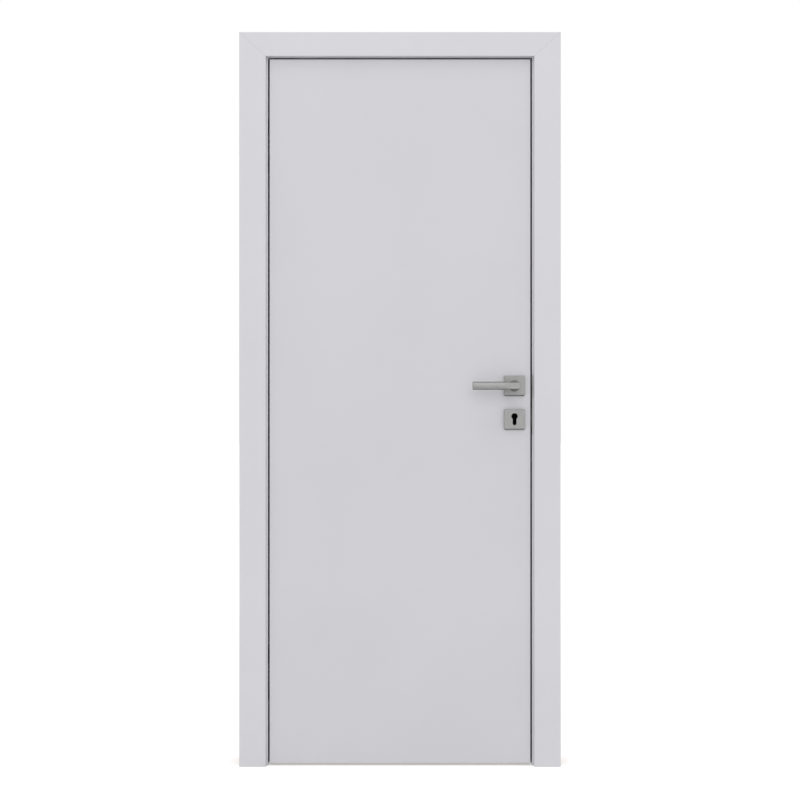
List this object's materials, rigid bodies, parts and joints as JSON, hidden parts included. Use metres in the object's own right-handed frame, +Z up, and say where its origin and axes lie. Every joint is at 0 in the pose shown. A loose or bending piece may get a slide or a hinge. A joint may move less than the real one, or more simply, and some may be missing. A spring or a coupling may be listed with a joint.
{
  "type": "interior door with frame",
  "caption": "Flush white interior door leaf on concealed hinges in a lined frame with mitred flat casings, a lever handle on a square rosette and a profile keyhole plate.",
  "frame": {"origin": "on the hinge jamb's wall-side face, at floor level, halfway through the wall", "axes": "+X from the hinge side to the lock side, +Y through the wall to the back, +Z up; the front, where the leaf opens to, looks along -Y"},
  "size_m": [0.897, 0.1745, 2.0501],
  "materials": {
    "frame_lacquer": "satin white lacquer on board",
    "leaf_lacquer": "satin white lacquer on board",
    "bare_board": "bare particle board and softwood",
    "seal": "soft dark grey profile",
    "hinge_metal": "satin anodised",
    "lock_metal": "satin",
    "lock_black": "black",
    "handle_metal": "satin nickel"
  },
  "bodies": {
    "frame": {"hinge_jamb": "frame_lacquer", "lock_jamb": "frame_lacquer", "head_jamb": "frame_lacquer", "hinge_side_stop": "frame_lacquer", "lock_side_stop": "frame_lacquer", "head_stop": "frame_lacquer", "hinge_side_seal": "seal", "lock_side_seal": "seal", "head_seal": "seal", "front_casing_left": "frame_lacquer", "front_casing_right": "frame_lacquer", "front_casing_head": "frame_lacquer", "back_casing_left": "frame_lacquer", "back_casing_right": "frame_lacquer", "back_casing_head": "frame_lacquer", "strike_plate": "lock_metal", "hinge_top_frame_cup": "hinge_metal", "hinge_bottom_frame_cup": "hinge_metal"},
    "leaf": {"leaf_core": "bare_board", "leaf_hinge_stile": "bare_board", "leaf_lock_stile": "bare_board", "leaf_top_rail": "bare_board", "leaf_bottom_rail": "bare_board", "leaf_front_skin": "leaf_lacquer", "leaf_back_skin": "leaf_lacquer", "hinge_edge_band": "leaf_lacquer", "lock_edge_band": "leaf_lacquer", "top_edge_band": "leaf_lacquer", "lock_case": "lock_black", "forend_plate": "lock_metal", "latch_bolt": "lock_metal", "dead_bolt": "lock_metal", "front_rosette": "handle_metal", "back_rosette": "handle_metal", "front_escutcheon": "handle_metal", "back_escutcheon": "handle_metal", "hinge_top_leaf_cup": "hinge_metal", "hinge_bottom_leaf_cup": "hinge_metal"},
    "hinge_arms": {"hinge_top_arm": "hinge_metal", "hinge_bottom_arm": "hinge_metal"},
    "lever_handle": {"front_lever": "handle_metal", "back_lever": "handle_metal", "spindle": "lock_metal"}
  },
  "joints": [
    {"name": "leaf_swing", "type": "hinge", "parent": "frame", "child": "leaf", "pos_m": [0.0325, -0.062, 1], "axis": [0, 0, -1], "range_deg": [0, 95]},
    {"name": "hinge_arm_turn", "type": "hinge", "parent": "frame", "child": "hinge_arms", "pos_m": [0.0325, -0.062, 1], "axis": [0, 0, -1], "range_deg": [0, 47.5]},
    {"name": "lever_turn", "type": "hinge", "parent": "leaf", "child": "lever_handle", "pos_m": [0.72, -0.03, 1.063], "axis": [0, -1, 0], "range_deg": [0, 45], "stiffness_Nm_per_rad": 2, "springref_deg": -28.65}
  ],
  "couplings": [
    {"joint": "hinge_arm_turn", "follows": "leaf_swing", "ratio": 0.5}
  ]
}
